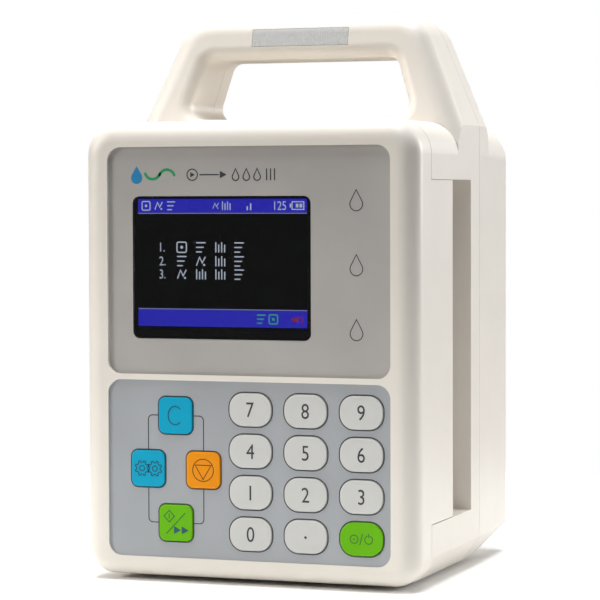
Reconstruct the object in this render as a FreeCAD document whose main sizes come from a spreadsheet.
import FreeCAD, Part
import os
import re
import Sketcher

# A single-channel infusion pump for a ward: a hinged front door with a display and keys, a middle
# frame that holds a peristaltic finger pump, a rear shell with the supply, and a pole clamp.
#
# Every piece is drawn in bench coordinates, in millimetres: x to the right, y backwards from the
# frontmost plane of the door, z up from the table. One placement then moves each piece forwards,
# so that the origin lies under the middle of the whole object.

SIZES = {
    # Case
    "case_width": 127.0,
    "case_height": 164.0,
    "foot_height": 1.5,
    "wall": 2.8,
    "top_radius": 12.0,
    "bottom_radius": 10.0,
    "corner_run": 7.0,
    "corner_rise": 9.3,
    "seam_gap": 0.4,
    "joint_gap": 0.25,
    "past": 1.0,
    "frame_depth": 60.3,
    "rear_depth": 45.7,
    "rear_taper": 1.9,
    "rear_rise": 11.0,
    "rear_rise_length": 32.0,
    "rear_radius": 5.0,
    "taper_room": 1.5,
    "foot_radius": 6.0,
    "foot_spread": 80.0,
    "foot_inset": 9.0,
    # Handle
    "handle_rise": 40.5,
    "handle_top_width": 92.4,
    "handle_corner": 15.0,
    "handle_front": 50.0,
    "handle_lean": 8.0,
    "handle_back": 12.7,
    "handle_edge": 8.0,
    "grip_top_width": 75.0,
    "grip_bottom_width": 90.0,
    "grip_height": 22.5,
    "grip_sill": 2.0,
    "grip_corner": 5.0,
    "grip_edge": 4.5,
    "lens_width": 38.0,
    "lens_height": 6.4,
    "lens_drop": 4.8,
    "lens_depth": 7.0,
    "led_size": 3.0,
    "led_rise": 0.5,
    "led_pitch": 8.0,
    # Door
    "door_depth": 16.8,
    "front_radius": 7.0,
    "face_thickness": 4.0,
    "tongue_bottom": 22.5,
    "tongue_height": 121.7,
    "tongue_reach": 25.9,
    "tongue_gap": 0.6,
    "pocket_front": 23.0,
    "pocket_setback": 11.3,
    "pocket_width": 18.0,
    "hinge_inset": 4.0,
    "hinge_setback": 1.9,
    "barrel_radius": 4.0,
    "swing_radius": 6.6,
    "lug_height": 10.0,
    "lug_inset": 17.5,
    "pin_radius": 1.5,
    "pin_reach": 12.0,
    "running_gap": 0.05,
    "side_gap": 0.3,
    "tongue_root": 3.0,
    "pin_end_gap": 1.0,
    "neck_root": 2.0,
    "post_inset": 1.0,
    "post_width": 15.0,
    "post_depth": 12.0,
    "post_margin": 4.0,
    # Display and labels
    "display_drop": 51.0,
    "window_x": -10.1,
    "window_drop": 1.3,
    "window_width": 68.0,
    "window_height": 51.0,
    "window_radius": 2.5,
    "window_thickness": 1.2,
    "window_inset": 0.1,
    "label_width": 107.4,
    "label_radius": 5.0,
    "label_thickness": 0.5,
    "label_above": 42.0,
    "label_below": 39.7,
    "display_recess": 1.2,
    "keypad_recess": 0.7,
    "label_bar": 2.0,
    "keypad_height": 63.9,
    "drop_x": 40.9,
    "drop_pitch": 22.7,
    "drop_width": 4.7,
    "drop_height": 7.4,
    "drop_reach": 2.0,
    # Keys
    "key_gap": 0.2,
    "key_proud": 0.6,
    "key_travel": 0.8,
    "key_flange": 1.0,
    "key_flange_depth": 1.3,
    "key_stem_radius": 1.6,
    "key_edge": 0.4,
    "number_x": 1.3,
    "number_pitch_x": 20.8,
    "number_pitch_z": 14.8,
    "number_drop": 9.9,
    "number_width": 15.9,
    "number_height": 11.8,
    "number_radius": 5.2,
    "function_x": -27.5,
    "function_drop": 32.0,
    "function_spread_x": 10.7,
    "function_spread_z": 19.35,
    "function_width": 12.9,
    "function_height": 13.1,
    "function_radius": 2.5,
    # Boards
    "board_thickness": 1.6,
    "board_gap": 0.1,
    "lcd_thickness": 4.0,
    "lcd_inset": 1.2,
    "lcd_border": 2.0,
    "control_space": 1.0,
    "control_height": 74.0,
    "chip_rise": 3.0,
    "keypad_board_inset": 2.0,
    "dome_radius": 2.5,
    "dome_rise": 0.2,
    "key_room": 1.2,
    "liner_inset": 0.2,
    "liner_thickness": 2.4,
    # Tube path and finger pump
    "deck_thickness": 3.0,
    "tube_channel": 6.0,
    "channel_depth": 4.8,
    "rib_depth": 7.3,
    "rib_width": 20.0,
    "platen_width": 16.0,
    "platen_margin": 7.0,
    "platen_proud": 0.1,
    "platen_thickness": 3.4,
    "platen_back": 1.2,
    "platen_lip": 2.0,
    "finger_width": 22.0,
    "finger_tip": 5.0,
    "finger_height": 5.6,
    "finger_pitch": 6.0,
    "finger_base": 78.0,
    "finger_reach": 26.4,
    "cam_depth": 46.0,
    "cam_radius": 7.0,
    "eccentric": 1.4,
    "shaft_radius": 3.0,
    "bearing_radius": 8.0,
    "bearing_height": 5.0,
    "block_wall": 4.0,
    "guide_gap": 0.15,
    "motor_size": 42.0,
    "motor_height": 34.0,
    "motor_bottom": 24.0,
    "motor_shaft_radius": 2.5,
    "coupling_radius": 6.0,
    "sensor_width": 14.0,
    "sensor_height": 10.0,
    "pressure_z": 66.0,
    "air_z": 48.0,
    "guide_drop": 13.5,
    "flow_z": 13.0,
    "flow_blade": 4.0,
    "flow_travel": 3.0,
    "flow_shaft_radius": 3.0,
    "magnet_x": 48.0,
    "magnet_rise": 11.0,
    "magnet_drop": 11.5,
    "magnet_radius": 3.5,
    "magnet_thickness": 3.0,
    # Supply
    "battery_width": 68.0,
    "battery_height": 21.0,
    "battery_depth": 37.0,
    "battery_z": 17.0,
    "battery_gap": 0.3,
    "cover_margin": 2.0,
    "notch_radius": 4.0,
    "notch_depth": 1.2,
    "inlet_x": -34.0,
    "inlet_z": 62.0,
    "inlet_width": 24.4,
    "inlet_height": 16.4,
    "inlet_depth": 16.0,
    "inlet_wall": 1.8,
    "inlet_flange": 3.2,
    "vent_x": 18.0,
    "vent_width": 28.0,
    "vent_height": 1.8,
    "vent_pitch": 5.0,
    "vent_z": 51.0,
    # Screws
    "screw_radius": 1.5,
    "screw_head": 3.0,
    "screw_x": 55.5,
    "screw_rise": 18.5,
    "screw_drop": 18.5,
    "screw_boss": 5.5,
    "screw_grip": 10.0,
    "screw_floor": 1.0,
    "counterbore": 8.0,
    "head_thickness": 2.5,
    "bracket_head": 1.8,
    # Pole clamp
    "pole_radius": 12.6,
    "pole_x": 10.0,
    "pole_gap": 0.6,
    "clamp_z": 106.0,
    "clamp_height": 40.0,
    "clamp_plate": 5.0,
    "clamp_plate_width": 82.0,
    "clamp_jaw": 5.5,
    "clamp_lip": 3.0,
    "clamp_arm_x": -32.0,
    "clamp_arm": 10.0,
    "clamp_arm_cut": 7.0,
    "clamp_arm_reach": 5.0,
    "clamp_screw_inset": 5.0,
    "clamp_screw_radius": 4.0,
    "clamp_travel": 11.0,
    "pad_thickness": 4.0,
    "pad_size": 16.0,
    "knob_radius": 13.0,
    "knob_thickness": 11.0,
    "knob_floor": 3.0,
    "flute_radius": 5.0,
    "flute_out": 2.0,
    "nose_radius": 2.5,
    "nose_depth": 2.0,
}

HALF = "case_width / 2"
BASE = "foot_height"
TOP = "(foot_height + case_height)"
DECK = "(door_depth + seam_gap)"
SEAM = "(door_depth + seam_gap + frame_depth)"
REAR = "(door_depth + seam_gap + frame_depth + rear_depth)"
POLE_Y = "(%s + clamp_plate + pole_gap + pole_radius)" % REAR
CLAMP_END = "(%s + pole_radius + clamp_lip)" % POLE_Y
HANDLE_TOP = "(%s + handle_rise)" % TOP
HINGE_X = "(hinge_inset - case_width / 2)"
HINGE_Y = "(door_depth + hinge_setback)"
DISPLAY_Z = "(%s - display_drop)" % TOP
LABEL_TOP = "(%s + label_above)" % DISPLAY_Z
LABEL_LOW = "(%s - label_below)" % DISPLAY_Z
KEYPAD_TOP = "(%s - label_bar)" % LABEL_LOW
KEYPAD_LOW = "(%s - keypad_height)" % KEYPAD_TOP
WINDOW_Z = "(%s - window_drop)" % DISPLAY_Z
POCKET_BACK = "(%s - pocket_setback)" % SEAM
MAGNET_LEVELS = ("(%s + magnet_rise)" % BASE, "(%s - magnet_drop)" % TOP)
SCREW_LEVELS = ("(%s + screw_rise)" % BASE, "(%s - screw_drop)" % TOP)
GUIDE_Z = "(%s - guide_drop)" % TOP
CHANNEL_FLOOR = "(%s + channel_depth)" % DECK
RIB_BACK = "(%s + rib_depth)" % DECK
CORNER_CUT = 0.586  # the leg of a regular octagon's corner, as a share of the round it follows
RUN_SHARE, RISE_SHARE = 0.4, 0.5  # how far the ends of the lower corner's cut follow an inset
FINGER_COUNT = 8
LED_COUNT = 4
VENT_COUNT = 5
FLUTE_COUNT = 6
FINGER_TOP = "(finger_base + %d * finger_pitch)" % FINGER_COUNT
LABEL_BACK = "(display_recess + label_thickness)"
KEYPAD_BACK = "(keypad_recess + label_thickness)"
KEY_FRONT = "(keypad_recess - key_proud)"
KEY_BACK = "(face_thickness + board_gap + key_flange_depth)"
KEYPAD_BOARD = "(%s + key_room)" % KEY_BACK
ORIGIN_SHIFT = "-%s / 2" % CLAMP_END

doc = FreeCAD.newDocument("infusion_pump")
sheet = doc.addObject("Spreadsheet::Sheet", "size")
for row, (alias, amount) in enumerate(SIZES.items(), start=1):
    sheet.set("A%d" % row, alias)
    sheet.set("B%d" % row, str(amount))
    sheet.setAlias("B%d" % row, alias)
ruler = doc.addObject("App::FeaturePython", "ruler")
ruler.addProperty("App::PropertyFloat", "reading")
doc.recompute()

nodes = []
local_y = {}


# ---- Formulas ----

def sized(text):
    """Point each size name in a formula at its cell in the sheet."""
    return re.sub(r"[a-z][a-z_0-9]*",
                  lambda word: "size." + word.group() if word.group() in SIZES else word.group(),
                  text)


def bind(item, path, text):
    item.setExpression(path, sized(text))


def number(text):
    """The present value of a formula, for picking edges and for starting a sketch."""
    bind(ruler, "reading", text)
    ruler.recompute()
    return ruler.reading


def around(centre, width):
    """A span of the given width about a centre."""
    return "%s - (%s) / 2" % (centre, width), "%s + (%s) / 2" % (centre, width)


def after(start, length):
    """A span that begins at start."""
    return start, "%s + %s" % (start, length)


# ---- Primitives and booleans ----

def box(name, x, y, z):
    """A block from three spans."""
    item = doc.addObject("Part::Box", name)
    for size_name, axis, (low, high) in zip(("Length", "Width", "Height"), "xyz", (x, y, z)):
        bind(item, size_name, "(%s) - (%s)" % (high, low))
        bind(item, "Placement.Base." + axis, low)
    local_y[item.Name] = y[0]
    return item


TURNS = {
    "x": FreeCAD.Rotation(FreeCAD.Vector(0, 1, 0), 90),
    "y": FreeCAD.Rotation(FreeCAD.Vector(1, 0, 0), -90),
    "z": FreeCAD.Rotation(),
}


def cylinder(name, axis, centre, span, radius):
    """A round bar along an axis. The centre is given on the other two axes, in x, y, z order."""
    item = doc.addObject("Part::Cylinder", name)
    item.Placement = FreeCAD.Placement(FreeCAD.Vector(), TURNS[axis])
    bind(item, "Radius", radius)
    bind(item, "Height", "(%s) - (%s)" % (span[1], span[0]))
    place = dict(zip([other for other in "xyz" if other != axis], centre))
    place[axis] = span[0]
    for letter, text in place.items():
        bind(item, "Placement.Base." + letter, text)
    local_y[item.Name] = place["y"]
    return item


def fuse(name, *items):
    item = doc.addObject("Part::MultiFuse", name)
    item.Shapes = list(items)
    item.Refine = True
    return item


def cut(name, base, *tools):
    item = doc.addObject("Part::Cut", name)
    item.Base = base
    item.Tool = tools[0] if len(tools) == 1 else fuse(name + "_tools", *tools)
    return item


def common(name, first, second):
    item = doc.addObject("Part::Common", name)
    item.Base = first
    item.Tool = second
    return item


def group(name, items):
    """Separate solids that are one kind of piece."""
    item = doc.addObject("Part::Compound", name)
    item.Links = list(items)
    return item


def node(item, label):
    """Name a finished piece, and move it from bench coordinates to the object's origin."""
    item.Label = label
    bind(item, "Placement.Base.y", "%s + %s" % (ORIGIN_SHIFT, local_y.get(item.Name, "0")))
    nodes.append(item)


# ---- Bodies made from sketches ----

PLANES = {"front": "XZ_Plane", "side": "YZ_Plane", "plan": "XY_Plane"}


def new_body(name):
    return doc.addObject("PartDesign::Body", name)


def sketch(body, name, plane, level):
    """A sketch on a plane of the body. Front sketches look backwards, side ones from the right."""
    item = body.newObject("Sketcher::SketchObject", name)
    base = [part for part in body.Origin.OriginFeatures if part.Role == PLANES[plane]]
    item.AttachmentSupport = [(base[0], "")]
    item.MapMode = "FlatFace"
    bind(item, "AttachmentOffset.Base.z", "-(%s)" % level if plane == "front" else level)
    return item


def tie(item, kind, place, text):
    """Hold one point of a sketch at a formula's value from the origin."""
    index = item.addConstraint(Sketcher.Constraint(kind, -1, 1, place[0], place[1], number(text)))
    bind(item, "Constraints[%d]" % index, text)


def polygon(item, corners):
    """A closed outline through the corners, each a pair of formulas."""
    points = [FreeCAD.Vector(number(across), number(up), 0) for across, up in corners]
    first = item.GeometryCount
    count = len(points)
    for index in range(count):
        item.addGeometry(Part.LineSegment(points[index], points[(index + 1) % count]))
    for index in range(count):
        after_it = first + (index + 1) % count
        item.addConstraint(Sketcher.Constraint("Coincident", first + index, 2, after_it, 1))
    for index, (across, up) in enumerate(corners):
        tie(item, "DistanceX", (first + index, 1), across)
        tie(item, "DistanceY", (first + index, 1), up)


def rectangle(item, across, up):
    polygon(item, [(across[0], up[0]), (across[1], up[0]), (across[1], up[1]), (across[0], up[1])])


def circle(item, across, up, radius):
    centre = FreeCAD.Vector(number(across), number(up), 0)
    index = item.addGeometry(Part.Circle(centre, FreeCAD.Vector(0, 0, 1), number(radius)))
    tie(item, "DistanceX", (index, 3), across)
    tie(item, "DistanceY", (index, 3), up)
    held = item.addConstraint(Sketcher.Constraint("Radius", index, number(radius)))
    bind(item, "Constraints[%d]" % held, radius)


def extrude(body, kind, outline, length, taper=None):
    """Pad or pocket a sketch towards +y from a front sketch, and towards +x or +z from others."""
    feature = body.newObject("PartDesign::" + kind, outline.Name + "_" + kind.lower())
    feature.Profile = outline
    is_front = outline.AttachmentSupport[0][0].Role == PLANES["front"]
    feature.Reversed = is_front == (kind == "Pad")
    bind(feature, "Length", length)
    if taper:
        bind(feature, "TaperAngle", taper)
    doc.recompute()
    return feature


def round_edges(body, name, radius, chosen):
    """Round the edges of the body's last shape that pass a test."""
    base = body.Tip
    names = ["Edge%d" % (index + 1) for index, edge in enumerate(base.Shape.Edges) if chosen(edge)]
    feature = body.newObject("PartDesign::Fillet", name)
    feature.Base = (base, names)
    bind(feature, "Radius", radius)
    doc.recompute()


def runs_back(edge):
    """Whether an edge is straight and runs along y."""
    spread = edge.BoundBox
    return spread.XLength < 1e-6 and spread.ZLength < 1e-6


def lies_at(edge, depth):
    """Whether a whole edge lies at one depth."""
    return abs(edge.BoundBox.YMin - depth) < 1e-4 and abs(edge.BoundBox.YMax - depth) < 1e-4


# ---- Door ----

def number_key_names():
    return [["key_7", "key_8", "key_9"], ["key_4", "key_5", "key_6"],
            ["key_1", "key_2", "key_3"], ["key_0", "key_point", "key_power"]]


FUNCTION_KEYS = {"key_clear": (0, 1), "key_menu": (-1, 0), "key_stop": (1, 0), "key_start": (0, -1)}


def key_places():
    """Each key's name, centre and the word that its sizes begin with."""
    places = []
    for row, names in enumerate(number_key_names()):
        for column, name in enumerate(names):
            x = "(number_x + %d * number_pitch_x)" % column
            z = "(%s - number_drop - %d * number_pitch_z)" % (KEYPAD_TOP, row)
            places.append((name, x, z, "number"))
    for name, (across, up) in FUNCTION_KEYS.items():
        x = "(function_x + %d * function_spread_x)" % across
        z = "(%s - function_drop + %d * function_spread_z)" % (KEYPAD_TOP, up)
        places.append((name, x, z, "function"))
    return places


def key_holes(body, name, depth, length):
    """Pocket all the key holes through a plate, and round their corners."""
    outline = sketch(body, name, "front", depth)
    for key, x, z, kind in key_places():
        rectangle(outline, around(x, kind + "_width + 2 * key_gap"),
                  around(z, kind + "_height + 2 * key_gap"))
    extrude(body, "Pocket", outline, length)
    for kind in ("number", "function"):
        spots = [(number(x), number(z)) for key, x, z, its_kind in key_places() if its_kind == kind]
        reach_x = number(kind + "_width / 2 + key_gap")
        reach_z = number(kind + "_height / 2 + key_gap")

        def is_corner(edge):
            middle = edge.CenterOfMass
            return runs_back(edge) and any(
                abs(abs(middle.x - x) - reach_x) < 0.01 and abs(abs(middle.z - z) - reach_z) < 0.01
                for x, z in spots)

        round_edges(body, name + "_" + kind, kind + "_radius + key_gap", is_corner)


def window_span(extra="0"):
    across = around("window_x", "window_width + 2 * " + extra)
    up = around(WINDOW_Z, "window_height + 2 * " + extra)
    return across, up


def at_window_corner(edge, extra):
    middle = edge.CenterOfMass
    return (runs_back(edge)
            and abs(abs(middle.x - number("window_x")) - number("window_width / 2 + " + extra)) < 0.01
            and abs(abs(middle.z - number(WINDOW_Z)) - number("window_height / 2 + " + extra)) < 0.01)


def drop_height(index):
    """The height of one of the three drop lights, from the top one down."""
    return "(%s + %d * drop_pitch)" % (DISPLAY_Z, 1 - index)


def inner_outline(item, inset):
    """The door's outline drawn in by an inset, with its corners cut off inside the round ones."""
    corners = []
    for side, up in ((-1, -1), (1, -1), (1, 1), (-1, 1)):
        edge_x = "%d * (%s - %s)" % (side, HALF, inset)
        if up > 0:
            edge_z = "(%s - %s)" % (TOP, inset)
            leg = "%.3f * (top_radius - %s)" % (CORNER_CUT, inset)
        else:
            edge_z = "(%s + %s)" % (BASE, inset)
            leg = "%.3f * (bottom_radius - %s)" % (CORNER_CUT, inset)
        level = (edge_x + " - %d * %s" % (side, leg), edge_z)
        upright = (edge_x, edge_z + " - %d * %s" % (up, leg))
        corners += [upright, level] if side == up else [level, upright]
    polygon(item, corners)


def make_door_shell():
    body = new_body("door_shell_body")
    face = sketch(body, "door_outline", "front", "0")
    rectangle(face, ("-" + HALF, HALF), (BASE, TOP))
    extrude(body, "Pad", face, "door_depth")
    middle = number("foot_height + case_height / 2")
    round_edges(body, "door_top_corners", "top_radius",
                lambda edge: runs_back(edge) and edge.CenterOfMass.z > middle)
    bottom = number(BASE)
    round_edges(body, "door_bottom_corners", "bottom_radius",
                lambda edge: runs_back(edge) and edge.CenterOfMass.z < bottom + 1)
    round_edges(body, "door_front_edge", "front_radius", lambda edge: lies_at(edge, 0))

    hollow = sketch(body, "door_hollow", "front", "face_thickness")
    inner_outline(hollow, "wall")
    extrude(body, "Pocket", hollow, "door_depth - face_thickness + past")

    reach = number("label_width / 2")
    for name, low, high, depth in (("display_recess", LABEL_LOW, LABEL_TOP, LABEL_BACK),
                                   ("keypad_recess", KEYPAD_LOW, KEYPAD_TOP, KEYPAD_BACK)):
        recess = sketch(body, name + "_outline", "front", "-past")
        rectangle(recess, around("0", "label_width"), (low, high))
        extrude(body, "Pocket", recess, "past + " + depth)
        span = (number(low) - 0.1, number(high) + 0.1)
        round_edges(body, name + "_corners", "label_radius",
                    lambda edge: (runs_back(edge) and abs(abs(edge.CenterOfMass.x) - reach) < 0.01
                                  and span[0] < edge.CenterOfMass.z < span[1]))

    openings = sketch(body, "door_openings", "front", LABEL_BACK)
    rectangle(openings, *window_span("board_gap"))
    for index in range(3):
        rectangle(openings, around("drop_x", "drop_width + 2 * board_gap"),
                  around(drop_height(index), "drop_height + 2 * board_gap"))
    extrude(body, "Pocket", openings, "face_thickness")
    round_edges(body, "door_window_corners", "window_radius + board_gap",
                lambda edge: at_window_corner(edge, "board_gap"))
    key_holes(body, "door_key_holes", KEYPAD_BACK, "face_thickness")

    tongue = sketch(body, "tongue", "side", HALF + " - wall")
    rectangle(tongue, ("door_depth - tongue_root", "door_depth + tongue_reach"),
              after("tongue_bottom", "tongue_height"))
    extrude(body, "Pad", tongue, "wall")

    lug_low = BASE + " + lug_inset"
    lug_high = TOP + " - lug_inset"
    barrel_low = "(%s + lug_height + side_gap)" % lug_low
    barrel_high = "(%s - lug_height - side_gap)" % lug_high
    barrel = sketch(body, "barrel", "plan", barrel_low)
    circle(barrel, HINGE_X, HINGE_Y, "barrel_radius")
    extrude(body, "Pad", barrel, "%s - %s" % (barrel_high, barrel_low))
    for name, low in (("low", barrel_low), ("high", "(%s - pin_reach - pin_end_gap)" % barrel_high)):
        bore = sketch(body, "pin_bore_" + name, "plan", low)
        circle(bore, HINGE_X, HINGE_Y, "pin_radius + running_gap")
        extrude(body, "Pocket", bore, "pin_reach + pin_end_gap")
    for name, low in (("low", "(%s - side_gap)" % lug_low),
                      ("high", "(%s - lug_height - side_gap)" % lug_high)):
        relief = sketch(body, "lug_relief_" + name, "plan", low)
        circle(relief, HINGE_X, HINGE_Y, "barrel_radius + side_gap + board_gap")
        extrude(body, "Pocket", relief, "lug_height + 2 * side_gap")
    node(body, "door_shell")


def make_labels():
    reach = number("label_width / 2")
    for label, depth, low, high in (("display_label", "display_recess", LABEL_LOW, LABEL_TOP),
                                    ("keypad_label", "keypad_recess", KEYPAD_LOW, KEYPAD_TOP)):
        body = new_body(label + "_body")
        outline = sketch(body, label + "_outline", "front", depth)
        rectangle(outline, around("0", "label_width"), (low, high))
        extrude(body, "Pad", outline, "label_thickness")
        round_edges(body, label + "_corners", "label_radius",
                    lambda edge: runs_back(edge) and abs(abs(edge.CenterOfMass.x) - reach) < 0.01)
        if label == "display_label":
            opening = sketch(body, "display_label_window", "front", depth)
            rectangle(opening, *window_span("board_gap"))
            extrude(body, "Pocket", opening, "label_thickness")
            round_edges(body, "display_label_window_corners", "window_radius + board_gap",
                        lambda edge: at_window_corner(edge, "board_gap"))
        else:
            key_holes(body, "keypad_label_holes", depth, "label_thickness")
        node(body, label)


def make_display():
    pane = new_body("display_window_body")
    outline = sketch(pane, "pane_outline", "front", "display_recess + window_inset")
    rectangle(outline, *window_span())
    extrude(pane, "Pad", outline, "window_thickness")
    round_edges(pane, "pane_corners", "window_radius", lambda edge: at_window_corner(edge, "0"))
    node(pane, "display_window")

    panel_front = "(display_recess + window_inset + window_thickness + board_gap)"
    across, up = window_span("-lcd_inset")
    screen = box("lcd_screen", across, (panel_front, "face_thickness + past"), up)
    across, up = window_span("lcd_border")
    frame = box("lcd_frame", across, after("face_thickness + board_gap", "lcd_thickness"), up)
    node(fuse("lcd_panel", screen, frame), "lcd_module")

    pipes = [box("drop_light_%d" % index, around("drop_x", "drop_width"),
                 (LABEL_BACK, "face_thickness + drop_reach"), around(drop_height(index), "drop_height"))
             for index in range(3)]
    node(group("drop_light_group", pipes), "drop_lights")


def make_boards():
    board_front = "(face_thickness + board_gap + lcd_thickness + control_space)"
    board = box("control_pcb", around("0", "label_width"), after(board_front, "board_thickness"),
                around(DISPLAY_Z, "control_height"))
    chips = [box("control_chip_%d" % index, around(x, width), (board_front, board_front + " + chip_rise"),
                 around(z, height))
             for index, (x, width, z, height) in enumerate(
                 [("-30", "14", DISPLAY_Z + " - 12", "14"), ("4", "20", DISPLAY_Z + " + 6", "8"),
                  ("30", "9", DISPLAY_Z + " - 20", "9"), ("-10", "24", DISPLAY_Z + " + 28", "5")])]
    node(fuse("control_board_form", board, *chips), "control_board")

    plate = box("keypad_pcb", around("0", "label_width - 2 * keypad_board_inset"),
                after(KEYPAD_BOARD, "board_thickness"),
                (KEYPAD_LOW + " + keypad_board_inset", KEYPAD_TOP + " - keypad_board_inset / 2"))
    domes = [cylinder("dome_" + key, "y", (x, z), (KEYPAD_BOARD + " - dome_rise", KEYPAD_BOARD),
                      "dome_radius") for key, x, z, kind in key_places()]
    node(fuse("keypad_board_form", plate, *domes), "keypad_board")


def make_keys():
    for key, x, z, kind in key_places():
        body = new_body(key + "_body")
        outline = sketch(body, key + "_outline", "front", KEY_FRONT)
        rectangle(outline, around(x, kind + "_width"), around(z, kind + "_height"))
        extrude(body, "Pad", outline, "%s - %s" % (KEY_BACK, KEY_FRONT))
        round_edges(body, key + "_corners", kind + "_radius", runs_back)
        front = number(KEY_FRONT)
        round_edges(body, key + "_edge", "key_edge", lambda edge: lies_at(edge, front))
        flange = sketch(body, key + "_flange", "front", KEY_BACK + " - key_flange_depth")
        rectangle(flange, around(x, kind + "_width + 2 * key_flange"),
                  around(z, kind + "_height + 2 * key_flange"))
        extrude(body, "Pad", flange, "key_flange_depth")
        stem = sketch(body, key + "_stem", "front", KEY_BACK)
        circle(stem, x, z, "key_stem_radius")
        extrude(body, "Pad", stem, "key_room - dome_rise - board_gap - key_travel")
        node(body, key)


def make_liner():
    liner_front = "(door_depth - liner_inset - liner_thickness)"
    body = new_body("door_liner_body")
    outline = sketch(body, "liner_outline", "front", liner_front)
    inner_outline(outline, "(wall + board_gap)")
    extrude(body, "Pad", outline, "liner_thickness")
    opening = sketch(body, "platen_opening", "front", liner_front)
    rectangle(opening, around("0", "platen_width + 2 * board_gap"),
              ("finger_base - platen_margin - board_gap",
               FINGER_TOP + " + platen_margin + board_gap"))
    for level in MAGNET_LEVELS:
        circle(opening, "magnet_x", level, "magnet_radius")
    extrude(body, "Pocket", opening, "liner_thickness")
    groove = sketch(body, "barrel_clearance", "plan", BASE)
    circle(groove, HINGE_X, HINGE_Y, "barrel_radius + side_gap + board_gap")
    extrude(body, "Pocket", groove, "case_height")
    node(body, "door_liner")

    platen_middle = "(door_depth + platen_proud - platen_thickness)"
    plate = box("platen_plate", around("0", "platen_width"),
                (platen_middle, "door_depth + platen_proud"),
                ("finger_base - platen_margin", FINGER_TOP + " + platen_margin"))
    back = box("platen_backing", around("0", "platen_width + 2 * platen_lip"),
               (platen_middle + " - platen_back", platen_middle),
               ("finger_base - platen_margin - platen_lip",
                FINGER_TOP + " + platen_margin + platen_lip"))
    node(fuse("platen_form", plate, back), "platen")

    plates = [cylinder("strike_%d" % index, "y", ("magnet_x", z),
                       (liner_front, "door_depth - liner_inset"), "magnet_radius")
              for index, z in enumerate(MAGNET_LEVELS)]
    node(group("strike_group", plates), "strike_plates")


# ---- Case ----

def case_prism(name, inset, start, length, taper=None):
    """The case's cross-section, drawn in by an inset: round above, cut off at its lower corners."""
    body = new_body(name)
    outline = sketch(body, name + "_outline", "front", start)
    side = "(%s - %s)" % (HALF, inset)
    low = "(%s + %s)" % (BASE, inset)
    high = "(%s - %s)" % (TOP, inset)
    run = "(%s - corner_run - %s * %s)" % (HALF, RUN_SHARE, inset)
    rise = "(%s + corner_rise + %s * %s)" % (BASE, RISE_SHARE, inset)
    polygon(outline, [("-" + run, low), (run, low), (side, rise), (side, high),
                      ("-" + side, high), ("-" + side, rise)])
    extrude(body, "Pad", outline, length, taper)
    top = number(high)
    slack = number(length) * 0.1
    round_edges(body, name + "_top_corners", "top_radius - %s" % inset,
                lambda edge: (edge.BoundBox.YLength > 1 and edge.CenterOfMass.z > top - slack
                              and edge.BoundBox.ZLength < slack))
    return body


def handle_loop(name, inset, start, length):
    """The handle's loop about its grip opening, drawn in by an inset, with its feet in the case."""
    body = new_body(name)
    outer = sketch(body, name + "_outer", "front", start)
    side = "(%s - %s)" % (HALF, inset)
    shoulder = "(%s - past)" % TOP
    crown = "(handle_top_width / 2 - %s)" % inset
    polygon(outer, [("-" + side, TOP + " - top_radius"), (side, TOP + " - top_radius"),
                    (side, shoulder), (crown, HANDLE_TOP + " - " + inset),
                    ("-" + crown, HANDLE_TOP + " - " + inset), ("-" + side, shoulder)])
    extrude(body, "Pad", outer, length)
    grip = sketch(body, name + "_grip", "front", start)
    sill = "(%s + grip_sill - %s)" % (TOP, inset)
    lintel = "(%s + grip_sill + grip_height + %s)" % (TOP, inset)
    low = "(grip_bottom_width / 2 + %s)" % inset
    high = "(grip_top_width / 2 + %s)" % inset
    polygon(grip, [("-" + low, sill), (low, sill), (high, lintel), ("-" + high, lintel)])
    extrude(body, "Pocket", grip, length)
    return body


def round_handle(body, name):
    """Round the handle's outer shoulders and the corners of its grip opening."""
    top = number(HANDLE_TOP)
    round_edges(body, name + "_shoulders", "handle_corner",
                lambda edge: runs_back(edge) and edge.CenterOfMass.z > top - 0.1)
    grip_low = number("%s + grip_sill - 0.1" % TOP)
    grip_high = number("%s + grip_sill + grip_height + 0.1" % TOP)
    round_edges(body, name + "_grip_corners", "grip_corner",
                lambda edge: runs_back(edge) and grip_low < edge.CenterOfMass.z < grip_high)


def handle_front_form(name):
    """The front half of the handle, leaning back, with its front edges rounded."""
    body = handle_loop(name, "0", "handle_front", SEAM + " - handle_front")
    lean = sketch(body, name + "_lean", "side", "-" + HALF + " - past")
    polygon(lean, [("handle_front - past", TOP), ("handle_front", TOP),
                   ("handle_front + handle_lean", HANDLE_TOP),
                   ("handle_front + handle_lean", HANDLE_TOP + " + past"),
                   ("handle_front - past", HANDLE_TOP + " + past")])
    extrude(body, "Pocket", lean, "case_width + 2 * past")
    round_handle(body, name)
    seam = number(SEAM)
    case_top = number(TOP)

    def is_front(edge):
        return edge.BoundBox.YMax < seam - 1 and edge.BoundBox.ZMax > case_top + 0.5

    def is_grip(edge):
        middle = edge.BoundBox
        return (max(abs(middle.XMin), abs(middle.XMax)) < number("grip_bottom_width / 2 + 0.5")
                and middle.ZMax < number("%s + grip_sill + grip_height + 0.5" % TOP))

    round_edges(body, name + "_outer_edge", "handle_edge",
                lambda edge: is_front(edge) and not is_grip(edge))
    round_edges(body, name + "_grip_edge", "grip_edge",
                lambda edge: is_front(edge) and is_grip(edge))
    return body


def handle_hollow(name, start, end):
    """The space inside the handle."""
    return handle_loop(name, "wall", start, "%s - (%s)" % (end, start))


def tube_channel(name, low, high):
    return box(name, around("0", "tube_channel"), (DECK + " - past", CHANNEL_FLOOR), (low, high))


def screw_places():
    return [(sign + "screw_x", z) for sign in ("-", "") for z in SCREW_LEVELS]


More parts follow.
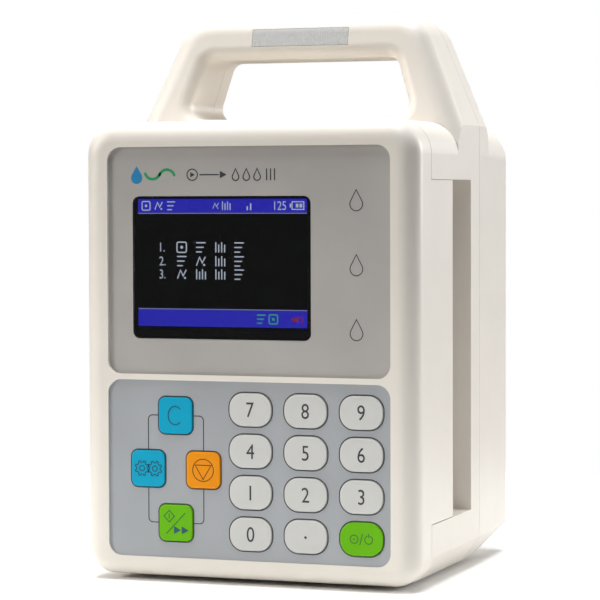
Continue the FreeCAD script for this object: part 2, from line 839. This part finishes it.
def make_middle_frame():
    outer = case_prism("frame_outer", "0", DECK, "frame_depth")
    handle = handle_front_form("handle_front_form")
    cavity = case_prism("frame_cavity", "wall", DECK + " + deck_thickness",
                        "frame_depth - deck_thickness + past")
    hull = cut("frame_hull", fuse("frame_solid", outer, handle), cavity)

    pocket_z = ("tongue_bottom - side_gap", "tongue_bottom + tongue_height + side_gap")
    pocket_block = box("pocket_block",
                       (HALF + " - pocket_width - wall", HALF + " - post_inset"),
                       ("pocket_front - wall", POCKET_BACK + " + wall"),
                       (pocket_z[0] + " - wall", pocket_z[1] + " + wall"))
    rib = box("channel_rib", around("0", "rib_width"), (DECK, RIB_BACK),
              (BASE + " + wall / 2", TOP + " - wall / 2"))
    post = box("hinge_post", after("post_inset - " + HALF, "post_width"),
               after(DECK + " + post_inset", "post_depth"),
               (BASE + " + lug_inset - post_margin", TOP + " - lug_inset + post_margin"))
    bosses = [cylinder("frame_boss_%d" % index, "y", place, (SEAM + " - screw_grip", SEAM),
                       "screw_boss") for index, place in enumerate(screw_places())]
    solid = fuse("frame_with_ribs", hull, pocket_block, rib, post, *bosses)

    lug_low = "(%s + lug_inset)" % BASE
    lug_high = "(%s - lug_inset - lug_height)" % TOP
    spaces = [
        box("pocket_space", (HALF + " - pocket_width", HALF + " + past"),
            ("pocket_front", POCKET_BACK), pocket_z),
        box("tongue_space", (HALF + " - wall - tongue_gap", HALF + " + past"),
            (DECK + " - past", "door_depth + tongue_reach + tongue_gap"), pocket_z),
        tube_channel("channel_space", BASE + " - past", TOP + " + past"),
        box("finger_window", around("0", "finger_tip + 2 * guide_gap"), (DECK, RIB_BACK + " + past"),
            ("finger_base", FINGER_TOP)),
        cylinder("swing_space", "z", (HINGE_X, HINGE_Y), (BASE + " - past", TOP + " + past"),
                 "swing_radius"),
        handle_hollow("handle_front_hollow", "handle_front + handle_lean + handle_edge",
                      SEAM + " + past"),
        box("lens_alcove", around("0", "lens_width + 2 * board_gap"),
            ("handle_front", "handle_front + handle_lean + lens_depth + handle_edge"),
            (HANDLE_TOP + " - lens_drop - lens_height - board_gap",
             HANDLE_TOP + " - lens_drop + board_gap")),
        box("blade_hole", around("0", "finger_tip + 2 * guide_gap"), (DECK, RIB_BACK + " + past"),
            around("flow_z", "flow_blade + 2 * guide_gap")),
    ]
    for name, z in (("pressure", "pressure_z"), ("air", "air_z"), ("guide", GUIDE_Z)):
        spaces.append(box(name + "_seat", around("0", "sensor_width + 2 * board_gap"),
                          (DECK + " - past", RIB_BACK + " + past"),
                          around(z, "sensor_height + 2 * board_gap")))
    for index, z in enumerate(MAGNET_LEVELS):
        spaces.append(cylinder("magnet_hole_%d" % index, "y", ("magnet_x", z),
                               (DECK + " - past", DECK + " + magnet_thickness"), "magnet_radius"))
    for index, place in enumerate(screw_places()):
        spaces.append(cylinder("frame_screw_hole_%d" % index, "y", place,
                               (SEAM + " - screw_grip + screw_floor", SEAM + " + past"),
                               "screw_radius"))
    carved = cut("frame_carved", solid, *spaces)

    lugs = []
    for index, low in enumerate((lug_low, lug_high)):
        ear = cylinder("lug_ear_%d" % index, "z", (HINGE_X, HINGE_Y), after(low, "lug_height"),
                       "barrel_radius")
        neck = box("lug_neck_%d" % index, after(HINGE_X, "swing_radius + neck_root"),
                   after(HINGE_Y, "barrel_radius"), after(low, "lug_height"))
        lugs += [ear, neck]
    pin_holes = [cylinder("lug_hole_%d" % index, "z", (HINGE_X, HINGE_Y),
                          (low + " - past", low + " + lug_height + past"), "pin_radius")
                 for index, low in enumerate((lug_low, lug_high))]
    node(cut("middle_frame_form", fuse("frame_with_lugs", carved, *lugs), *pin_holes),
         "middle_frame")

    pins = [
        cylinder("hinge_pin_low", "z", (HINGE_X, HINGE_Y),
                 (lug_low, lug_low + " + lug_height + side_gap + pin_reach"), "pin_radius"),
        cylinder("hinge_pin_high", "z", (HINGE_X, HINGE_Y),
                 (lug_high + " - side_gap - pin_reach", lug_high + " + lug_height"), "pin_radius"),
    ]
    node(group("hinge_pin_group", pins), "hinge_pins")


def rear_wedge(name, lift):
    """The space under the rear shell's rising underside, raised by a lift."""
    body = new_body(name)
    outline = sketch(body, name + "_outline", "side", "-" + HALF + " - past")
    polygon(outline, [(REAR + " - rear_rise_length", BASE + " - past"),
                      (REAR + " - rear_rise_length", BASE + " + " + lift),
                      (REAR + " + past", BASE + " + rear_rise + " + lift),
                      (REAR + " + past", BASE + " - past")])
    extrude(body, "Pad", outline, "case_width + 2 * past")
    return body


def make_rear_shell():
    rim = SEAM + " + joint_gap"
    outer = case_prism("rear_outer", "0", rim, "rear_depth - joint_gap", "-rear_taper")
    rear_y = number(REAR)
    round_edges(outer, "rear_outer_edge", "rear_radius",
                lambda edge: lies_at(edge, rear_y) and edge.BoundBox.ZMin > number(BASE) + 4)
    handle = handle_loop("handle_rear_form", "0", rim, "handle_back - joint_gap")
    round_handle(handle, "handle_rear_form")
    back_of_handle = number(SEAM + " + handle_back")
    round_edges(handle, "handle_rear_edge", "grip_edge",
                lambda edge: (lies_at(edge, back_of_handle)
                              and edge.BoundBox.ZMax > number(TOP) + 1))
    cavity = case_prism("rear_cavity", "(wall + taper_room)", SEAM + " - past",
                        "rear_depth - wall + past")
    cavity_cut = cut("rear_cavity_form", cavity, rear_wedge("cavity_wedge", "wall"))
    hull = cut("rear_hull", fuse("rear_solid", outer, handle), cavity_cut)
    posts = [cylinder("rear_post_%d" % index, "y", place, (SEAM, REAR + " - wall / 2"),
                      "screw_boss") for index, place in enumerate(screw_places())]
    solid = fuse("rear_with_posts", hull, *posts)
    through_back = (REAR + " - wall - past", REAR + " + past")
    spaces = [
        rear_wedge("underside_wedge", "0"),
        handle_hollow("handle_rear_hollow", SEAM + " - past", SEAM + " + handle_back - wall"),
        box("battery_opening", around("0", "battery_width + 2 * cover_margin"), through_back,
            after("battery_z - cover_margin", "battery_height + 2 * cover_margin")),
        box("inlet_opening", around("inlet_x", "inlet_width + 2 * inlet_wall"), through_back,
            around("inlet_z", "inlet_height + 2 * inlet_wall")),
    ]
    for index in range(VENT_COUNT):
        spaces.append(box("vent_%d" % index, after("vent_x", "vent_width"), through_back,
                          after("vent_z + %d * vent_pitch" % index, "vent_height")))
    for index, place in enumerate(screw_places()):
        spaces.append(cylinder("rear_screw_hole_%d" % index, "y", place,
                               (SEAM + " - past", REAR + " + past"), "screw_radius"))
        spaces.append(cylinder("rear_counterbore_%d" % index, "y", place,
                               (SEAM + " + counterbore", REAR + " + past"),
                               "screw_head + side_gap"))
    for index, place in enumerate(bracket_screw_places()):
        spaces.append(cylinder("bracket_hole_%d" % index, "y", place, through_back,
                               "screw_radius"))
    node(cut("rear_shell_form", solid, *spaces), "rear_shell")


def bracket_screw_places():
    reach_x = "(clamp_plate_width / 2 - clamp_screw_inset)"
    reach_z = "(clamp_height / 2 - clamp_screw_inset)"
    return [(sign + reach_x, "clamp_z %s %s" % (step, reach_z)) for sign in ("-", "")
            for step in ("-", "+")]


def make_lamp():
    window = box("lens_block", around("0", "lens_width"),
                 ("handle_front", "handle_front + handle_lean + lens_depth"),
                 (HANDLE_TOP + " - lens_drop - lens_height", HANDLE_TOP + " - lens_drop"))
    node(common("alarm_lens_form", window, handle_front_form("lens_surface")), "alarm_lens")
    led_front = "(handle_front + handle_lean + lens_depth + board_gap)"
    board = box("alarm_pcb", around("0", "lens_width - 2 * past"),
                after(led_front + " + led_rise", "board_thickness"),
                (HANDLE_TOP + " - lens_drop - lens_height + side_gap",
                 HANDLE_TOP + " - lens_drop - side_gap"))
    lights = [box("alarm_led_%d" % index,
                  around("led_pitch * (%d - (%d - 1) / 2)" % (index, LED_COUNT), "led_size"),
                  after(led_front, "led_rise"),
                  around(HANDLE_TOP + " - lens_drop - lens_height / 2", "led_size"))
              for index in range(LED_COUNT)]
    node(fuse("alarm_board_form", board, *lights), "alarm_board")


# ---- Finger pump ----

def make_pump_block():
    low = "(finger_base - guide_gap)"
    high = "(%s + guide_gap)" % FINGER_TOP
    cage = box("block_cage", around("0", "finger_width + 2 * guide_gap + 2 * block_wall"),
               (RIB_BACK, "cam_depth + 19"), (low + " - bearing_height - 2",
                                              high + " + bearing_height + 2"))
    space = box("block_space", around("0", "finger_width + 2 * guide_gap"),
                (RIB_BACK + " - 1", "cam_depth + 16"), (low, high))
    seats = cylinder("bearing_seats", "z", ("0", "cam_depth"),
                     (low + " - bearing_height - 3", high + " + bearing_height + 3"),
                     "bearing_radius")
    node(cut("pump_block_form", cage, space, seats), "pump_block")

    rings = []
    for index, start in enumerate((low + " - bearing_height", high)):
        ring = cylinder("bearing_outer_%d" % index, "z", ("0", "cam_depth"),
                        after(start, "bearing_height"), "bearing_radius")
        hole = cylinder("bearing_hole_%d" % index, "z", ("0", "cam_depth"),
                        (start + " - 1", start + " + bearing_height + 1"),
                        "shaft_radius + running_gap")
        rings.append(cut("bearing_%d" % index, ring, hole))
    node(group("bearing_group", rings), "cam_bearings")


def turn_of(index):
    """The angle of one cam about the shaft, in degrees."""
    return 360 // FINGER_COUNT * index


def lift_of(index):
    """How far the finger stands forward of its middle place at rest."""
    return "eccentric * cos(%d)" % turn_of(index)


def finger_level(index):
    return "finger_base + %d * finger_pitch" % index


def make_camshaft():
    shaft = cylinder("cam_spindle", "z", ("0", "cam_depth"),
                     ("motor_bottom + motor_height + 2", FINGER_TOP + " + bearing_height + 4"),
                     "shaft_radius")
    rotor = cylinder("motor_spindle", "z", ("0", "cam_depth"),
                     ("motor_bottom + 3", "motor_bottom + motor_height + 4"), "motor_shaft_radius")
    sleeve = cylinder("shaft_sleeve", "z", ("0", "cam_depth"),
                      after("motor_bottom + motor_height + 1.5", "8"), "coupling_radius")
    cams = [cylinder("cam_%d" % index, "z",
                     ("eccentric * sin(%d)" % turn_of(index), "cam_depth - " + lift_of(index)),
                     after(finger_level(index) + " + 0.4", "finger_height - 0.4"), "cam_radius")
            for index in range(FINGER_COUNT)]
    node(fuse("camshaft_form", shaft, rotor, sleeve, *cams), "camshaft")


def make_fingers():
    sway = "(cam_radius + 2 * eccentric + 0.1)"
    for index in range(FINGER_COUNT):
        level = after(finger_level(index) + " + 0.2", "finger_height")
        middle = "(cam_depth - %s)" % lift_of(index)
        front = "(cam_depth - finger_reach - %s)" % lift_of(index)
        frame = box("finger_frame_%d" % index, around("0", "finger_width"),
                    (middle + " - %s - 2.2" % sway, middle + " + %s + 2.2" % sway), level)
        tip = box("finger_tip_%d" % index, around("0", "finger_tip"),
                  (front, middle + " - %s - 2" % sway), level)
        opening = box("finger_opening_%d" % index,
                      around("0", "2 * (cam_radius + eccentric + 0.15)"),
                      (middle + " - " + sway, middle + " + " + sway),
                      (level[0] + " - 1", level[1] + " + 1"))
        node(cut("finger_form_%d" % index, fuse("finger_blank_%d" % index, frame, tip), opening),
             "finger_%d" % (index + 1))


def make_motor():
    can = box("motor_can", around("0", "motor_size"), around("cam_depth", "motor_size"),
              after("motor_bottom", "motor_height"))
    corner = "(motor_size / 2 - 4)"
    collar = cylinder("motor_collar", "z", ("0", "cam_depth"),
                      after("motor_bottom + motor_height - 0.5", "1.3"), "11")
    bore = cylinder("motor_bore", "z", ("0", "cam_depth"),
                    ("motor_bottom + 2", "motor_bottom + motor_height + 3"),
                    "motor_shaft_radius + running_gap")
    holes = [cylinder("motor_hole_%d" % index, "z", (x + corner, "cam_depth %s" % y + corner),
                      ("motor_bottom + motor_height - 5", "motor_bottom + motor_height + 1"),
                      "1.5")
             for index, (x, y) in enumerate([("-", "-"), ("-", "+"), ("", "-"), ("", "+")])]
    node(cut("motor_form", fuse("motor_case", can, collar), bore, *holes), "stepper_motor")


def channel_insert(name, z, label):
    """A block that fills its seat in the deck, with the tube channel through its face."""
    block = box(name + "_block", around("0", "sensor_width"), (DECK + " + 0.1", RIB_BACK),
                around(z, "sensor_height"))
    channel = tube_channel(name + "_channel", z + " - sensor_height", z + " + sensor_height")
    node(cut(name + "_form", block, channel), label)


def make_tube_path():
    channel_insert("pressure", "pressure_z", "pressure_sensor")
    channel_insert("air", "air_z", "air_sensor")
    channel_insert("guide", GUIDE_Z, "tube_guide")
    blade = box("flow_blade_box", around("0", "finger_tip"), (CHANNEL_FLOOR, RIB_BACK + " + 5"),
                around("flow_z", "flow_blade"))
    plunger = cylinder("flow_plunger", "y", ("0", "flow_z"),
                       (RIB_BACK + " + 4", RIB_BACK + " + 22"), "flow_shaft_radius")
    node(fuse("flow_clamp_form", blade, plunger), "flow_clamp")
    coil = box("coil_block", around("0", "16"), (RIB_BACK + " + 6", RIB_BACK + " + 32"),
               (BASE + " + wall", "flow_z + 9"))
    bore = cylinder("coil_bore", "y", ("0", "flow_z"), (RIB_BACK + " + 5", RIB_BACK + " + 26"),
                    "flow_shaft_radius + running_gap")
    node(cut("coil_form", coil, bore), "clamp_solenoid")
    magnets = [cylinder("magnet_%d" % index, "y", ("magnet_x", z),
                        (DECK + " + 0.1", DECK + " + magnet_thickness"), "magnet_radius")
               for index, z in enumerate(MAGNET_LEVELS)]
    node(group("magnet_group", magnets), "door_magnets")


# ---- Supply ----

def make_supply():
    board = box("power_pcb", around("0", "88"), after(SEAM + " + 8", "board_thickness"),
                ("battery_z + battery_height + 8", "146"))
    parts = [
        box("power_transformer", around("26", "30"), after(SEAM + " + 9", "19"), around("118", "28")),
        box("power_inductor", around("-8", "18"), after(SEAM + " + 9", "14"), around("122", "18")),
        box("power_heatsink", around("-34", "10"), after(SEAM + " + 9", "16"), around("112", "34")),
        cylinder("power_capacitor", "y", ("2", "96"), (SEAM + " + 9", SEAM + " + 33"), "8"),
        cylinder("power_capacitor_small", "y", ("20", "90"), (SEAM + " + 9", SEAM + " + 24"), "5"),
    ]
    node(fuse("power_board_form", board, *parts), "power_board")

    pack = box("battery_cells", around("0", "battery_width"),
               (REAR + " - wall - battery_gap - battery_depth", REAR + " - wall - battery_gap"),
               after("battery_z", "battery_height"))
    node(pack, "battery_pack")
    cover = box("cover_plate", around("0", "battery_width + 2 * cover_margin - 2 * battery_gap"),
                (REAR + " - wall", REAR),
                after("battery_z - cover_margin + battery_gap",
                      "battery_height + 2 * cover_margin - 2 * battery_gap"))
    notch = cylinder("cover_notch", "y", ("0", "battery_z + battery_height - past"),
                     (REAR + " - notch_depth", REAR + " + past"), "notch_radius")
    node(cut("battery_cover_form", cover, notch), "battery_cover")

    flange = box("inlet_flange_plate",
                 around("inlet_x", "inlet_width + 2 * inlet_wall + 2 * inlet_flange"),
                 (REAR, REAR + " + 2"),
                 around("inlet_z", "inlet_height + 2 * inlet_wall + 2 * inlet_flange"))
    barrel = box("inlet_barrel", around("inlet_x", "inlet_width + 2 * inlet_wall"),
                 (REAR + " - inlet_depth - 4", REAR + " + 1"),
                 around("inlet_z", "inlet_height + 2 * inlet_wall"))
    socket = box("inlet_socket", around("inlet_x", "inlet_width"),
                 (REAR + " + 2 - inlet_depth", REAR + " + 3"), around("inlet_z", "inlet_height"))
    pins = [box("inlet_pin_%d" % index, around("inlet_x + (%d)" % x, "2"),
                (REAR + " - inlet_depth", REAR + " - 3"), around("inlet_z + (%d)" % z, "4"))
            for index, (x, z) in enumerate([(-7, -2), (0, 2), (7, -2)])]
    hollow = cut("inlet_hollow", fuse("inlet_solid", flange, barrel), socket)
    node(fuse("inlet_form", hollow, *pins), "mains_inlet")


def make_feet_and_screws():
    depths = (DECK + " + foot_inset", REAR + " - rear_rise_length - foot_inset")
    feet = [cylinder("foot_%d_%d" % (side, index), "z", ("%d * foot_spread / 2" % side, depth),
                     ("0", "foot_height"), "foot_radius")
            for side in (-1, 1) for index, depth in enumerate(depths)]
    node(group("foot_group", feet), "rubber_feet")

    screws = []
    for index, place in enumerate(screw_places()):
        shank = cylinder("case_shank_%d" % index, "y", place,
                         (SEAM + " - screw_grip + screw_floor", SEAM + " + counterbore"),
                         "screw_radius")
        head = cylinder("case_head_%d" % index, "y", place,
                        after(SEAM + " + counterbore", "head_thickness"), "screw_head")
        screws.append(fuse("case_screw_%d" % index, shank, head))
    for index, place in enumerate(bracket_screw_places()):
        shank = cylinder("bracket_shank_%d" % index, "y", place,
                         (REAR + " - wall", REAR + " + clamp_plate"), "screw_radius")
        head = cylinder("bracket_head_%d" % index, "y", place,
                        after(REAR + " + clamp_plate", "bracket_head"), "screw_head")
        screws.append(fuse("bracket_screw_%d" % index, shank, head))
    node(group("screw_group", screws), "case_screws")


# ---- Pole clamp ----

def make_clamp():
    height = around("clamp_z", "clamp_height")
    plate = box("clamp_back", around("0", "clamp_plate_width"), after(REAR, "clamp_plate"), height)
    jaw = box("clamp_jaw_block", ("pole_x", "pole_x + pole_radius + clamp_jaw"), (REAR, CLAMP_END),
              height)
    arm_height = around("clamp_z", "clamp_height - 2 * clamp_arm_cut")
    arm = box("clamp_arm_block", after("clamp_arm_x", "clamp_arm"),
              (REAR, POLE_Y + " + clamp_screw_radius + clamp_arm_reach"), arm_height)
    seat = cylinder("pole_seat", "z", ("pole_x", POLE_Y),
                    ("clamp_z - clamp_height", "clamp_z + clamp_height"), "pole_radius")
    thread = cylinder("clamp_thread", "x", (POLE_Y, "clamp_z"),
                      ("clamp_arm_x - past", "clamp_arm_x + clamp_arm + past"),
                      "clamp_screw_radius + running_gap")
    holes = [cylinder("plate_hole_%d" % index, "y", place,
                      (REAR + " - past", REAR + " + clamp_plate + past"), "screw_radius")
             for index, place in enumerate(bracket_screw_places())]
    node(cut("clamp_bracket_form", fuse("clamp_blank", plate, jaw, arm), seat, thread, *holes),
         "clamp_bracket")

    pad_face = "(pole_x - pole_radius - clamp_travel - 0.5)"
    pad_back = "(%s - pad_thickness)" % pad_face
    pad = box("pad_block", (pad_back, pad_face), around(POLE_Y, "pad_size"),
              around("clamp_z", "pad_size"))
    socket = cylinder("pad_socket", "x", (POLE_Y, "clamp_z"),
                      (pad_back + " - past", pad_back + " + nose_depth"),
                      "nose_radius + running_gap")
    node(cut("clamp_pad_form", pad, socket), "clamp_pad")

    knob_inner = "(clamp_arm_x - clamp_travel - 1)"
    rod = cylinder("screw_rod", "x", (POLE_Y, "clamp_z"),
                   (knob_inner + " - knob_thickness + knob_floor", pad_back + " - board_gap"),
                   "clamp_screw_radius")
    nose = cylinder("screw_nose", "x", (POLE_Y, "clamp_z"),
                    (pad_back + " - past", pad_back + " + nose_depth - board_gap"),
                    "nose_radius")
    node(fuse("clamp_screw_form", rod, nose), "clamp_screw")
    disc = cylinder("knob_disc", "x", (POLE_Y, "clamp_z"),
                    (knob_inner + " - knob_thickness", knob_inner), "knob_radius")
    bore = cylinder("knob_bore", "x", (POLE_Y, "clamp_z"),
                    (knob_inner + " - knob_thickness + knob_floor", knob_inner + " + past"),
                    "clamp_screw_radius")
    flutes = []
    for index in range(FLUTE_COUNT):
        angle = 360 // FLUTE_COUNT * index
        place = (POLE_Y + " + (knob_radius + flute_out) * cos(%d)" % angle,
                 "clamp_z + (knob_radius + flute_out) * sin(%d)" % angle)
        flutes.append(cylinder("knob_flute_%d" % index, "x", place,
                               (knob_inner + " - knob_thickness - past", knob_inner + " + past"),
                               "flute_radius"))
    node(cut("clamp_knob_form", disc, bore, *flutes), "clamp_knob")


make_door_shell()
make_labels()
make_display()
make_boards()
make_keys()
make_liner()
make_middle_frame()
make_rear_shell()
make_lamp()
make_pump_block()
make_camshaft()
make_fingers()
make_motor()
make_tube_path()
make_supply()
make_feet_and_screws()
make_clamp()

doc.recompute()
failed = [item.Label for item in doc.Objects if {"Invalid", "Error"} & set(item.State)]
bad = [item.Label for item in nodes if item.Shape.isNull() or not item.Shape.isValid()]
if failed or bad:
    raise SystemExit("failed: %s; bad shapes: %s" % (failed, bad))

os.makedirs("parts", exist_ok=True)
for item in nodes:
    item.Shape.exportStep("parts/%s.step" % item.Label)
print(len(nodes), "pieces written")
